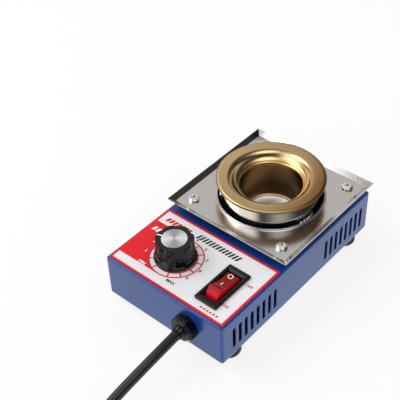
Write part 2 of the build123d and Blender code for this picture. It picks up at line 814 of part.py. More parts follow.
# Rocker: its ends are arcs about the pivot, its top a shallow hollow, and its off end is pressed in
tilt = radians(rocker_tilt)
rocker_plane = Plane(
    origin=(switch_x, switch_y, pivot_z),
    x_dir=(0, cos(tilt), -sin(tilt)),
    z_dir=(1, 0, 0),
)
ridge = radians(rocker_ridge_angle)
ridge_point = (rocker_radius * sin(ridge), rocker_radius * cos(ridge))
keel_half = sqrt(rocker_radius**2 - rocker_keel**2)
with BuildPart() as switch_rocker:
    with BuildSketch(rocker_plane):
        with BuildLine():
            ThreePointArc((-ridge_point[0], ridge_point[1]), (0, rocker_valley), ridge_point)
            ThreePointArc(ridge_point, (rocker_radius, 0), (keel_half, -rocker_keel))
            Line((keel_half, -rocker_keel), (-keel_half, -rocker_keel))
            ThreePointArc((-keel_half, -rocker_keel), (-rocker_radius, 0), (-ridge_point[0], ridge_point[1]))
        make_face()
    extrude(amount=rocker_width / 2, both=True)
    chamfer(switch_rocker.edges().filter_by(GeomType.CIRCLE).group_by(Axis.Z)[-1], 0.5)
    with BuildSketch(rocker_plane):
        Circle(trunnion_radius)
    extrude(amount=rocker_width / 2 + trunnion_length, both=True)
save(switch_rocker, "switch_rocker")

switch_body_bottom = label_top - switch_body_depth
with BuildPart() as switch_terminals:
    with BuildSketch(level(switch_x, switch_y, switch_body_bottom)):
        with GridLocations(switch_body_width * 0.5, switch_body_length * 0.5, 2, 2):
            Rectangle(terminal_thickness, terminal_width)
    extrude(amount=-terminal_length)
save(switch_terminals, "switch_terminals")

# Strain relief: a clamping bushing, its faceted head outside the panel and its barrel inside
cord_radius = cord_diameter / 2
relief_exit = relief_head_length + relief_nose_length
with BuildPart() as strain_relief:
    with BuildSketch(relief_plane):
        Circle(relief_head_radius)
    extrude(amount=relief_flange_length)
    with BuildSketch(relief_plane):
        RegularPolygon(relief_head_radius, relief_sides, rotation=180 / relief_sides)
    extrude(amount=relief_head_length)
    chamfer(strain_relief.faces().sort_by(Axis.Y)[0].edges(), relief_bevel)
    with BuildSketch(relief_plane.offset(relief_head_length)):
        Circle(relief_nose_radius)
    with BuildSketch(relief_plane.offset(relief_exit)):
        Circle(cord_radius + 0.5)
    loft()
    with BuildSketch(relief_plane):
        Circle(relief_barrel_radius)
    extrude(amount=-relief_barrel_length)
save(strain_relief, "strain_relief")

# Cord: straight runs joined by tangent arcs, from the strain relief down to the table
cord_floor = cord_radius + floor_gap
relief_front = front_y - relief_exit
coil_y = front_y - coil_from_front
lead_points = [
    (relief_x, relief_front, relief_z),
    (relief_x - 0.2, relief_front - 15.0, relief_z - 1.8),
    (relief_x - 1.2, relief_front - 31.0, relief_z - 5.5),
    (relief_x - 2.4, relief_front - 48.0, relief_z - 10.0),
    (relief_x - 1.4, relief_front - 66.0, relief_z - 14.2),
    (relief_x + 2.5, relief_front - 84.0, relief_z - 16.4),
    (relief_x + 7.5, relief_front - 101.0, cord_floor),
    (relief_x + 11.3, relief_front - 117.0, cord_floor + 0.01),
    (coil_x + coil_bottom_radii[1], coil_y, cord_floor),
]


def corner_radii(points):
    """Each corner's arc, as large as its two runs allow."""
    route = [Vector(*p) for p in points]
    radii = []
    for before, corner, after in zip(route, route[1:], route[2:]):
        run_in = corner - before
        run_out = after - corner
        half_turn = radians(run_in.get_angle(run_out)) / 2
        radii.append(0.45 * min(run_in.length, run_out.length) / tan(half_turn))
    return radii


def cord_tube(points, name):
    """A round tube along the points; prints its arcs and how its volume compares."""
    radii = corner_radii(points)
    with BuildPart() as tube:
        with BuildLine():
            route = FilletPolyline(*points, radius=radii)
        with BuildSketch(Plane(origin=route @ 0, z_dir=route % 0)):
            Circle(cord_radius)
        sweep(path=route)
    ideal = pi * cord_radius**2 * route.length
    print(name, "radii", [round(r, 1) for r in radii])
    print(name, "length", round(route.length, 1), "volume ratio", round(tube.part.volume / ideal, 4))
    save(tube, name)
    return route.length


cord_tube(lead_points, "power_cord")

with BuildPart() as cord_coil:
    with BuildSketch(upright(coil_x, coil_y)):
        with Locations((sum(coil_bottom_radii) / 2, floor_gap + coil_height / 2)):
            RectangleRounded(
                coil_bottom_radii[1] - coil_bottom_radii[0] + cord_diameter,
                coil_height,
                cord_radius * 0.95,
            )
    revolve(axis=vertical_axis(coil_x, coil_y))
save(cord_coil, "cord_coil")

# The cord's end leaves the coil's upper layer and rises to the plug
plug_lean = radians(plug_lean_degrees)
plug_rise = floor_gap + plug_head_radius * cos(plug_lean) - plug_head_start * sin(plug_lean)
coil_top_z = floor_gap + coil_height - cord_radius
plug_x = coil_x + coil_top_radius + plug_from_coil[0]
plug_y = coil_y + plug_from_coil[1]
tail_points = [
    (coil_x + coil_top_radius, coil_y, coil_top_z),
    (coil_x + coil_top_radius + 0.4, coil_y + plug_from_coil[1] / 2, coil_top_z + 0.6),
    (plug_x, plug_y, plug_rise),
]
cord_tube(tail_points, "plug_cord")

# Plug: a ribbed boot, a waisted grip and a round head with a shallow face
plug_axis = Plane(
    origin=(plug_x, plug_y, plug_rise),
    x_dir=(0, -cos(plug_lean), sin(plug_lean)),
    z_dir=(1, 0, 0),
)
plug_cross = Plane(
    origin=(plug_x, plug_y, plug_rise),
    x_dir=(1, 0, 0),
    z_dir=(0, -cos(plug_lean), sin(plug_lean)),
)
plug_line = Axis(plug_axis.origin, plug_axis.x_dir)
with BuildPart() as plug_body:
    with BuildSketch(plug_axis):
        with BuildLine():
            Polyline((0, 0), (0, plug_tail_radius), (plug_boot_length, plug_boot_radius))
            Spline(
                (plug_boot_length, plug_boot_radius),
                (plug_grip_end - 8.0, plug_grip_radius),
                (plug_head_start, plug_head_radius),
                tangents=((1, 0.35), (0.3, 1)),
            )
            Polyline(
                (plug_head_start, plug_head_radius),
                (plug_length, plug_head_radius),
                (plug_length, 0),
                (0, 0),
            )
        make_face()
    revolve(axis=plug_line)
    head_edge = plug_body.edges().filter_by(GeomType.CIRCLE).sort_by(SortBy.LENGTH)[-2:]
    fillet(head_edge.sort_by(Axis.Y)[0], 1.5)
    # Finger flats on both sides of the grip, and rings round the boot
    with BuildSketch(plug_cross.offset(plug_boot_length + 3.0)):
        with GridLocations(4 * plug_grip_radius - 4.0, 0, 2, 1):
            Rectangle(2 * plug_grip_radius, 2 * plug_head_radius)
    extrude(amount=plug_grip_end - plug_boot_length - 3.0, mode=Mode.SUBTRACT)
    for ring in range(4):
        with BuildSketch(plug_cross.offset(4.0 + ring * 4.0)):
            Circle(plug_boot_radius + 1.0)
            Circle(plug_tail_radius - 0.2 + ring * 0.36, mode=Mode.SUBTRACT)
        extrude(amount=1.4, mode=Mode.SUBTRACT)
    # Grooves for the earth clips, top and bottom of the head, and the pins' sockets
    with BuildSketch(plug_cross.offset(plug_length)):
        with GridLocations(0, 2 * plug_head_radius - 4.0, 1, 2):
            Rectangle(clip_width, 4.2)
        with GridLocations(pin_spacing, 0, 2, 1):
            Circle(pin_root_diameter / 2)
    extrude(amount=-clip_length, mode=Mode.SUBTRACT)
    # A shallow round face, between the clips
    with BuildSketch(plug_cross.offset(plug_length)):
        Circle(plug_head_radius - 4.5)
    extrude(amount=-plug_face_recess, mode=Mode.SUBTRACT)
save(plug_body, "plug_body")

with BuildPart() as plug_pins:
    with BuildSketch(plug_cross.offset(plug_length - clip_length)):
        with GridLocations(pin_spacing, 0, 2, 1):
            Circle(pin_root_diameter / 2)
    extrude(amount=clip_length - plug_face_recess)
    with BuildSketch(plug_cross.offset(plug_length - plug_face_recess)):
        with GridLocations(pin_spacing, 0, 2, 1):
            Circle(pin_diameter / 2)
    extrude(amount=plug_face_recess + pin_length)
    chamfer(plug_pins.edges().filter_by(GeomType.CIRCLE).group_by(Axis.Y)[0], pin_chamfer)
save(plug_pins, "plug_pins")

with BuildPart() as plug_earth_clips:
    with BuildSketch(plug_cross.offset(plug_length)):
        with GridLocations(0, 2 * (plug_head_radius - 4.1 + clip_thickness / 2), 1, 2):
            Rectangle(clip_width, clip_thickness)
    extrude(amount=-clip_length)
save(plug_earth_clips, "plug_earth_clips")

# Control board inside the box: four hex standoffs, screwed from above and from below
board_bottom = base_top + board_above_base
board_top = board_bottom + board_thickness
board_screw_length = 4.0
with BuildPart() as control_board:
    with BuildSketch(level(board_x, board_y, board_bottom)):
        RectangleRounded(board_length, board_width, 1.0)
        with Locations([(x - board_x, y - board_y) for x, y in board_spots]):
            Circle(clear_radius, mode=Mode.SUBTRACT)
    extrude(amount=board_thickness)
save(control_board, "control_board")

with BuildPart() as board_standoffs:
    with BuildSketch(level(0, 0, base_top)):
        with Locations(board_spots):
            RegularPolygon(nut_flats / 2, 6, major_radius=False)
            Circle(tapped_radius, mode=Mode.SUBTRACT)
    extrude(amount=board_above_base)
save(board_standoffs, "board_standoffs")

with BuildPart() as board_screws:
    for seat, up in ((base_bottom, 1), (board_top, -1)):
        with BuildSketch(level(0, 0, seat)):
            with Locations(board_spots):
                Circle(pan_head_diameter / 2)
        extrude(amount=-up * pan_head_height)
        with BuildSketch(level(0, 0, seat)):
            with Locations(board_spots):
                Circle(screw_radius)
        extrude(amount=up * board_screw_length)
save(board_screws, "board_screws")

# On the board: a power switch on a finned heat sink, a film capacitor and a screw terminal block.
# They keep clear of the corner screws, and the low ones stand below the rotary control.
screw_zone = board_hole_inset + pan_head_diameter / 2 + 0.5
sink_width = 14.0
sink_depth = 8.0
sink_height = 15.0
sink_from_edge = 1.6
fin_width = 1.4
fin_count = 4
fin_depth = 6.0
sink_x = board_right - sink_from_edge - sink_width / 2
sink_y = board_rear - screw_zone - sink_depth / 2
with BuildPart() as heat_sink:
    with BuildSketch(level(sink_x, sink_y, board_top)):
        Rectangle(sink_width, sink_depth)
        with Locations((0, sink_depth / 2)):
            with GridLocations(sink_width / fin_count, 0, fin_count - 1, 1):
                Rectangle(sink_width / fin_count - fin_width, 2 * fin_depth, mode=Mode.SUBTRACT)
    extrude(amount=sink_height)
save(heat_sink, "heat_sink")

triac_width = 10.0
triac_y = sink_y - sink_depth / 2
with BuildPart() as triac:
    with BuildSketch(level(sink_x, triac_y - 0.65, board_top + 3.0)):
        Rectangle(triac_width, 1.3)
    extrude(amount=12.0)
    with BuildSketch(level(sink_x, triac_y - 2.2, board_top + 3.0)):
        Rectangle(triac_width, 4.4)
    extrude(amount=8.6)
    with BuildSketch(level(sink_x, triac_y - 2.6, board_top)):
        with GridLocations(2.54, 0, 3, 1):
            Rectangle(0.8, 0.5)
    extrude(amount=3.0)
save(triac, "triac")

block_width = 9.0
block_ways = 3
block_pitch = 5.0
block_height = 9.5
block_from_edge = 2.0
block_length = block_ways * block_pitch
block_x = board_left + block_from_edge + block_width / 2
block_y = board_front + screw_zone + block_length / 2
with BuildPart() as terminal_block:
    with BuildSketch(level(block_x, block_y, board_top)):
        Rectangle(block_width, block_length)
    extrude(amount=block_height)
    chamfer(terminal_block.edges().filter_by(Axis.Y).group_by(Axis.Z)[-1], 1.6)
    with BuildSketch(level(block_x, block_y, board_top + block_height)):
        with GridLocations(0, block_pitch, 1, block_ways):
            Circle(1.9)
    extrude(amount=-5.0, mode=Mode.SUBTRACT)
    with BuildSketch(
        Plane(origin=(block_x + block_width / 2, block_y, board_top), x_dir=(0, 1, 0), z_dir=(1, 0, 0))
    ):
        with Locations((0, 3.0)):
            with GridLocations(block_pitch, 0, block_ways, 1):
                Rectangle(3.2, 3.0)
    extrude(amount=-3.0, mode=Mode.SUBTRACT)
save(terminal_block, "terminal_block")

capacitor_width = 7.5
capacitor_length = 17.5
capacitor_height = 9.0
capacitor_gap = 2.0
capacitor_x = block_x + block_width / 2 + capacitor_gap + capacitor_width / 2
capacitor_y = board_front + screw_zone + capacitor_length / 2
with BuildPart() as film_capacitor:
    with BuildSketch(level(capacitor_x, capacitor_y, board_top)):
        Rectangle(capacitor_width, capacitor_length)
    extrude(amount=capacitor_height)
    fillet(film_capacitor.edges().filter_by(Axis.Z), 0.8)
    chamfer(film_capacitor.faces().sort_by(Axis.Z)[-1].edges(), 0.4)
save(film_capacitor, "film_capacitor")

# Earth bond: a screw up through the base plate, a ring tag and a nut
lug_thickness = 0.8
with BuildPart() as earth_screw:
    with BuildSketch(level(*earth_spot, base_bottom)):
        Circle(pan_head_diameter / 2)
    extrude(amount=-pan_head_height)
    with BuildSketch(level(*earth_spot, base_bottom)):
        Circle(screw_radius)
    extrude(amount=base_sheet + lug_thickness + nut_height + 1.0)
save(earth_screw, "earth_screw")

with BuildPart() as earth_lug:
    with BuildSketch(level(*earth_spot, base_top)):
        Circle(3.4)
        with Locations((0, -6.0)):
            Rectangle(3.4, 9.0)
        Circle(clear_radius, mode=Mode.SUBTRACT)
    extrude(amount=lug_thickness)
    with BuildSketch(upright(earth_spot[0], earth_spot[1] - 5.5)):
        with Locations((0, base_top + 1.6)):
            Circle(1.6)
    extrude(amount=5.0)
save(earth_lug, "earth_lug")

with BuildPart() as earth_nut:
    with BuildSketch(level(*earth_spot, base_top + lug_thickness)):
        RegularPolygon(nut_flats / 2, 6, major_radius=False)
        Circle(tapped_radius, mode=Mode.SUBTRACT)
    extrude(amount=nut_height)
save(earth_nut, "earth_nut")
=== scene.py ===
# Solder pot on a blue sheet-metal box: dresses the CAD model for its photograph.
import math

import bpy
from mathutils import Euler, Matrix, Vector


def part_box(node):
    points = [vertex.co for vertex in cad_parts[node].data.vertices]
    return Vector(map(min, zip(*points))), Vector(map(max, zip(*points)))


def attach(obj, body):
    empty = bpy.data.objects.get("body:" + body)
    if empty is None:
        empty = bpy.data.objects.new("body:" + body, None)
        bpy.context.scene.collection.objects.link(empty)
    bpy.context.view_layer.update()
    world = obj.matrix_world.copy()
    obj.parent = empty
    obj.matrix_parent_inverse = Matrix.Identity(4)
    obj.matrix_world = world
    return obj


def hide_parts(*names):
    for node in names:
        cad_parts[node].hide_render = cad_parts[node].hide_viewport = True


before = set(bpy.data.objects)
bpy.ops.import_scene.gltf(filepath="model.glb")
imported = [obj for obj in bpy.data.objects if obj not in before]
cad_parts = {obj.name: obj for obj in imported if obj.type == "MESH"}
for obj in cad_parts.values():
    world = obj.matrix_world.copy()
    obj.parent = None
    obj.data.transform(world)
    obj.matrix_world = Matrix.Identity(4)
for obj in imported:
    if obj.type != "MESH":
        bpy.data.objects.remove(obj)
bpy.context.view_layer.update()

MM = 0.001


def box_mm(node):
    """A node's lowest and highest corners, in millimetres."""
    low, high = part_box(node)
    return Vector(low) / MM, Vector(high) / MM


# Places taken from the solids, in millimetres
cover_low, cover_high = box_mm("cover")
crucible_low, crucible_high = box_mm("crucible")
knob_low, knob_high = box_mm("knob")
label_low, label_high = box_mm("panel_label")
print_high = box_mm("label_print")[1]
bezel_low, bezel_high = box_mm("switch_housing")
tray_low, tray_high = box_mm("splash_tray")
relief_low, relief_high = box_mm("strain_relief")
front_y = cover_low.y
pot = (crucible_low + crucible_high) / 2
dial = (knob_low + knob_high) / 2
switch = (bezel_low + bezel_high) / 2

# Camera: above the right front corner, with a long lens; its place in mm and its turn in degrees
CAMERA_PLACE = (244.9, -302.0, 398.6)
CAMERA_TURN = (48.325, 2.037, 40.870)
camera = bpy.data.objects.new("studio_camera", bpy.data.cameras.new("studio_camera"))
bpy.context.scene.collection.objects.link(camera)
camera.location = Vector(CAMERA_PLACE) * MM
camera.rotation_euler = Euler([math.radians(angle) for angle in CAMERA_TURN], "XYZ")
camera.data.sensor_width = 36
camera.data.lens = 80.5
camera.data.clip_start = 0.01
bpy.context.scene.camera = camera

# Mains cord: out of the strain relief, down to the table, round the coil and up to the plug
CORD_DIAMETER = 6.0
relief_x = (relief_low.x + relief_high.x) / 2
relief_z = (relief_low.z + relief_high.z) / 2
relief_front = relief_low.y
FLOOR_GAP = 0.05  # the cord lies this much above the table
cord_floor = CORD_DIAMETER / 2 + FLOOR_GAP
coil_x = -10.5
coil_y = front_y - 140.0  # the coil lies this far in front of the box
lead_points = [
    (relief_x, relief_front, relief_z),
    (relief_x - 0.2, relief_front - 15.0, relief_z - 1.8),
    (relief_x - 1.2, relief_front - 31.0, relief_z - 5.5),
    (relief_x - 2.4, relief_front - 48.0, relief_z - 10.0),
    (relief_x - 1.4, relief_front - 66.0, relief_z - 14.2),
    (relief_x + 2.5, relief_front - 84.0, relief_z - 16.4),
    (relief_x + 7.5, relief_front - 101.0, cord_floor),
    (relief_x + 11.3, relief_front - 117.0, cord_floor + 0.01),
]
# Coil, seen from above clockwise: in on the table for 2.9 turns, up onto the first layer within
# 0.3 turns, and out on top to 5 turns
COIL_TURNS = 5
POINTS_A_TURN = 16
LAID_TURNS = 2.9
CLIMBED_TURNS = 3.2
OUTER_RADIUS = 42.0
TIGHTENING = 1.0  # the radius gets this much smaller while the cord climbs
TOP_INNER_RADIUS = 23.6
TOP_WIDENING = 12.4
coil_points = []
for step in range(COIL_TURNS * POINTS_A_TURN + 1):
    turn = step / POINTS_A_TURN
    if turn <= LAID_TURNS:
        radius = OUTER_RADIUS - CORD_DIAMETER * turn
        height = cord_floor
    elif turn <= CLIMBED_TURNS:
        climbed = (turn - LAID_TURNS) / (CLIMBED_TURNS - LAID_TURNS)
        radius = OUTER_RADIUS - CORD_DIAMETER * LAID_TURNS - TIGHTENING * climbed
        height = cord_floor + CORD_DIAMETER * climbed
    else:
        widened = (turn - CLIMBED_TURNS) / (COIL_TURNS - CLIMBED_TURNS)
        radius = TOP_INNER_RADIUS + TOP_WIDENING * widened
        height = cord_floor + CORD_DIAMETER
    angle = -2 * math.pi * turn
    coil_points.append((coil_x + radius * math.cos(angle), coil_y + radius * math.sin(angle), height))
tail_points = [
    (coil_x + 36.4, coil_y - 17.0, cord_floor + 6.6),
    (coil_x + 38.0, coil_y - 34.0, 10.628),  # into the plug
]
cord_line = bpy.data.curves.new("mains_cord", "CURVE")
cord_line.dimensions = "3D"
cord_line.bevel_depth = 1.0  # times each point's own radius
cord_line.bevel_resolution = 5
cord_line.resolution_u = 6
cord_line.use_fill_caps = True
spline = cord_line.splines.new("NURBS")
cord_points = lead_points + coil_points + tail_points
spline.points.add(len(cord_points) - 1)
for point, place in zip(spline.points, cord_points):
    point.co = (*(Vector(place) * MM), 1)
    point.radius = CORD_DIAMETER / 2 * MM
spline.order_u = 3
spline.use_endpoint_u = True
mains_cord = bpy.data.objects.new("mains_cord", cord_line)
bpy.context.scene.collection.objects.link(mains_cord)
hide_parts("power_cord", "cord_coil", "plug_cord")
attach(mains_cord, "box")


# Materials
def linear(hex_colour):
    """An sRGB hex colour as linear numbers."""
    parts = [int(hex_colour[i : i + 2], 16) / 255 for i in (1, 3, 5)]
    return (*(p / 12.92 if p <= 0.04045 else ((p + 0.055) / 1.055) ** 2.4 for p in parts), 1.0)


def add_node(tree, kind, settings=None, values=None, links=None):
    """Adds a node, with its settings, its sockets' values and its links from other nodes."""
    node = tree.nodes.new(kind)
    for name, value in (settings or {}).items():
        setattr(node, name, value)
    for socket, value in (values or {}).items():
        node.inputs[socket].default_value = value
    for socket, (source, output) in (links or {}).items():
        tree.links.new(source.outputs[output], node.inputs[socket])
    return node


def new_material(name, base, roughness, metallic=0.0, **more):
    """A material with its colour and gloss, to which the rest of its nodes are added."""
    material = bpy.data.materials.new(name)
    material.use_nodes = True
    tree = material.node_tree
    shader = tree.nodes["Principled BSDF"]
    shader.inputs["Base Color"].default_value = linear(base)
    shader.inputs["Roughness"].default_value = roughness
    shader.inputs["Metallic"].default_value = metallic
    for socket, value in more.items():
        shader.inputs[socket.replace("_", " ")].default_value = value
    place = add_node(tree, "ShaderNodeTexCoord")
    return material, tree, shader, place


def ramp_colours(ramp, stops):
    """Sets a colour ramp's stops, given as places and hex colours."""
    while len(ramp.color_ramp.elements) < len(stops):
        ramp.color_ramp.elements.new(0.5)
    for element, (position, colour) in zip(ramp.color_ramp.elements, stops):
        element.position = position
        element.color = linear(colour)


def varied_gloss(tree, shader, pattern, low, high):
    """Lets a pattern's strength vary the roughness between two values."""
    gloss = add_node(
        tree,
        "ShaderNodeMapRange",
        values={"To Min": low, "To Max": high},
        links={"Value": (pattern, "Fac")},
    )
    tree.links.new(gloss.outputs["Result"], shader.inputs["Roughness"])


def depth_in_box(tree, place, low, high):
    """How far a point lies within a box given by its corners in millimetres.

    The first node holds it by X, Y and Z, and the second to the nearest upright side.
    """
    from_middle = add_node(
        tree,
        "ShaderNodeVectorMath",
        settings={"operation": "SUBTRACT"},
        values={1: tuple((low + high) / 2 * MM)},
        links={0: (place, "Object")},
    )
    either_side = add_node(
        tree,
        "ShaderNodeVectorMath",
        settings={"operation": "ABSOLUTE"},
        links={0: (from_middle, "Vector")},
    )
    within = add_node(
        tree,
        "ShaderNodeVectorMath",
        settings={"operation": "SUBTRACT"},
        values={0: tuple((high - low) / 2 * MM)},
        links={1: (either_side, "Vector")},
    )
    depths = add_node(tree, "ShaderNodeSeparateXYZ", links={0: (within, "Vector")})
    nearest_side = add_node(
        tree,
        "ShaderNodeMath",
        settings={"operation": "MINIMUM"},
        links={0: (depths, "X"), 1: (depths, "Y")},
    )
    return depths, nearest_side


# Clear red polycarbonate, moulded, with painted light and shade: darker red where it faces up and
# brighter red on its sides, in place of the light let out there. The mould's flow marks change its
# gloss
def red_rocker():
    flow_mark = 2.0
    material, tree, shader, place = new_material(
        "red_clear_polycarbonate", "#B0101A", 0.14, Specular_IOR_Level=0.18
    )
    surface = add_node(tree, "ShaderNodeNewGeometry")
    facing_for_painted_light = add_node(tree, "ShaderNodeSeparateXYZ", links={0: (surface, "Normal")})
    # Painted light and shade: brighter red where the face stands upright, darker where it faces up
    colour = add_node(tree, "ShaderNodeValToRGB", links={"Fac": (facing_for_painted_light, "Z")})
    ramp_colours(colour, [(0.0, "#E4152B"), (0.5, "#D81026"), (0.75, "#A80F18"), (0.9, "#7E1015")])
    tree.links.new(colour.outputs["Color"], shader.inputs["Base Color"])
    grain = add_node(
        tree,
        "ShaderNodeTexNoise",
        values={"Scale": 1 / (flow_mark * MM), "Detail": 2.0},
        links={"Vector": (place, "Object")},
    )
    varied_gloss(tree, shader, grain, 0.08, 0.2)
    return material


# Gloss powder-coat, baked on folded steel: a deep blue with an orange-peel skin and slow clouds of
# shade, veiled pale blue where it mirrors the table. Inside the box and in the slots the colour is
# painted near black as painted shade, and round the heater the top is painted near black as painted
# shade of the gap under the tray
def blue_powder_coat():
    peel_width = 1.6
    cloud_width = 40.0
    painted_shade_depth = 0.7  # more than this below the outside, the colour is painted shade
    heater_shade_radius = 36.0
    heater_shade_edge = 43.0
    material, tree, shader, place = new_material(
        "blue_powder_coat",
        "#0F3A85",
        0.3,
        Coat_Weight=0.4,
        Coat_Roughness=0.22,
        Specular_Tint=linear("#B6DEFF"),
    )
    peel = add_node(
        tree,
        "ShaderNodeTexNoise",
        values={"Scale": 1 / (peel_width * MM), "Detail": 2.0, "Roughness": 0.5},
        links={"Vector": (place, "Object")},
    )
    relief = add_node(
        tree,
        "ShaderNodeBump",
        values={"Strength": 0.08, "Distance": 0.05 * MM},
        links={"Height": (peel, "Fac")},
    )
    tree.links.new(relief.outputs["Normal"], shader.inputs["Normal"])
    tree.links.new(relief.outputs["Normal"], shader.inputs["Coat Normal"])
    cloud = add_node(
        tree,
        "ShaderNodeTexNoise",
        values={"Scale": 1 / (cloud_width * MM), "Detail": 3.0},
        links={"Vector": (place, "Object")},
    )
    shade = add_node(tree, "ShaderNodeValToRGB", links={"Fac": (cloud, "Fac")})
    ramp_colours(shade, [(0.3, "#0D357A"), (0.7, "#123F8C")])
    depths, nearest_side = depth_in_box(tree, place, cover_low, cover_high)
    nearest = add_node(
        tree,
        "ShaderNodeMath",
        settings={"operation": "MINIMUM"},
        links={0: (nearest_side, "Value"), 1: (depths, "Z")},
    )
    # Painted shade: more than 0.7 mm in from the outside, in the box and its slots, the colour turns
    # near black
    inside = add_node(
        tree,
        "ShaderNodeMapRange",
        values={"From Min": painted_shade_depth * MM, "From Max": (painted_shade_depth + 0.15) * MM},
        links={"Value": (nearest, "Value")},
    )
    painted_shade_inside = add_node(
        tree,
        "ShaderNodeMix",
        settings={"data_type": "RGBA"},
        values={7: linear("#0A0C12")},
        links={0: (inside, "Result"), 6: (shade, "Color")},
    )
    # Painted shade: round the pot, on the cover's top, the colour is painted near black for the shaded
    # gap
    from_pot = add_node(
        tree,
        "ShaderNodeVectorMath",
        settings={"operation": "DISTANCE"},
        values={1: (pot.x * MM, pot.y * MM, cover_high.z * MM)},
        links={0: (place, "Object")},
    )
    heater_shade = add_node(
        tree,
        "ShaderNodeMapRange",
        settings={"interpolation_type": "SMOOTHSTEP"},
        values={"From Min": heater_shade_edge * MM, "From Max": heater_shade_radius * MM},
        links={"Value": (from_pot, "Value")},
    )
    heater_shaded = add_node(
        tree,
        "ShaderNodeMix",
        settings={"data_type": "RGBA"},
        values={7: linear("#0B0A0C")},
        links={0: (heater_shade, "Result"), 6: (painted_shade_inside, 2)},
    )
    tree.links.new(heater_shaded.outputs[2], shader.inputs["Base Color"])
    bare = add_node(
        tree,
        "ShaderNodeMapRange",
        values={"To Min": 0.4, "To Max": 0.0},
        links={"Value": (inside, "Result")},
    )
    tree.links.new(bare.outputs["Result"], shader.inputs["Coat Weight"])
    return material


# Zinc-plated steel: cool grey with faint crystals, drawn coarser than the real ones, or they
# wouldn't show
def zinc_plate():
    crystal_width = 1.2
    material, tree, shader, place = new_material("zinc_plated_steel", "#B9BCC0", 0.3, 1.0)
    crystal = add_node(
        tree,
        "ShaderNodeTexVoronoi",
        values={"Scale": 1 / (crystal_width * MM)},
        links={"Vector": (place, "Object")},
    )
    shade = add_node(tree, "ShaderNodeValToRGB", links={"Fac": (crystal, "Distance")})
    ramp_colours(shade, [(0.0, "#C4C6CA"), (1.0, "#A4A8AE")])
    tree.links.new(shade.outputs["Color"], shader.inputs["Base Color"])
    return material


# Bright, polished screw steel: a sharp mirror, its gloss changed by fine scratches
def bright_screw_steel():
    scratch_width = 0.5
    material, tree, shader, place = new_material("bright_screw_steel", "#E4E2DE", 0.08, 1.0)
    scratch = add_node(
        tree,
        "ShaderNodeTexNoise",
        values={"Scale": 1 / (scratch_width * MM), "Detail": 2.0},
        links={"Vector": (place, "Object")},
    )
    varied_gloss(tree, shader, scratch, 0.05, 0.12)
    return material


# Bright-rolled stainless sheet: a soft mirror, its gloss streaked by the roll's lines along X,
# which are drawn coarser than the real ones, or they wouldn't show
def rolled_stainless():
    line_length = 30.0
    line_width = 0.5
    corner_shade_radius = 3.0
    corner_shade_reach = 14.0
    material, tree, shader, place = new_material("bright_rolled_stainless", "#C8C4C0", 0.26, 1.0)
    stretch = add_node(
        tree,
        "ShaderNodeMapping",
        values={"Scale": (1 / (line_length * MM), 1 / (line_width * MM), 1 / (line_width * MM))},
        links={"Vector": (place, "Object")},
    )
    lines = add_node(
        tree,
        "ShaderNodeTexNoise",
        values={"Scale": 1.0, "Detail": 3.0},
        links={"Vector": (stretch, "Vector")},
    )
    shade = add_node(tree, "ShaderNodeValToRGB", links={"Fac": (lines, "Fac")})
    ramp_colours(shade, [(0.3, "#C3BFBB"), (0.7, "#CCC8C4")])
    # Painted shade: where the left and the back rim meet, the colour is painted darker round the bend
    from_corner = add_node(
        tree,
        "ShaderNodeVectorMath",
        settings={"operation": "DISTANCE"},
        values={1: (tray_low.x * MM, tray_high.y * MM, tray_high.z * MM)},
        links={0: (place, "Object")},
    )
    corner_shade = add_node(
        tree,
        "ShaderNodeMapRange",
        settings={"interpolation_type": "SMOOTHSTEP"},
        values={"From Min": corner_shade_reach * MM, "From Max": corner_shade_radius * MM},
        links={"Value": (from_corner, "Value")},
    )
    bend = add_node(
        tree,
        "ShaderNodeMix",
        settings={"data_type": "RGBA"},
        values={7: linear("#6E6C6B")},
        links={0: (corner_shade, "Result"), 6: (shade, "Color")},
    )
    tree.links.new(bend.outputs[2], shader.inputs["Base Color"])
    varied_gloss(tree, shader, lines, 0.16, 0.24)
    return material


# Drawn and polished stainless shell: a mirror with soft streaks that run up and down
def polished_shell():
    streak_width = 2.5
    streak_length = 80.0
    material, tree, shader, place = new_material("polished_stainless", "#D6D2CC", 0.1, 1.0)
    stretch = add_node(
        tree,
        "ShaderNodeMapping",
        values={"Scale": (1 / (streak_width * MM), 1 / (streak_width * MM), 1 / (streak_length * MM))},
        links={"Vector": (place, "Object")},
    )
    streaks = add_node(
        tree,
        "ShaderNodeTexNoise",
        values={"Scale": 1.0, "Detail": 2.0},
        links={"Vector": (stretch, "Vector")},
    )
    relief = add_node(
        tree,
        "ShaderNodeBump",
        values={"Strength": 0.3, "Distance": 0.08 * MM},
        links={"Height": (streaks, "Fac")},
    )
    tree.links.new(relief.outputs["Normal"], shader.inputs["Normal"])
    varied_gloss(tree, shader, streaks, 0.06, 0.16)
    return material


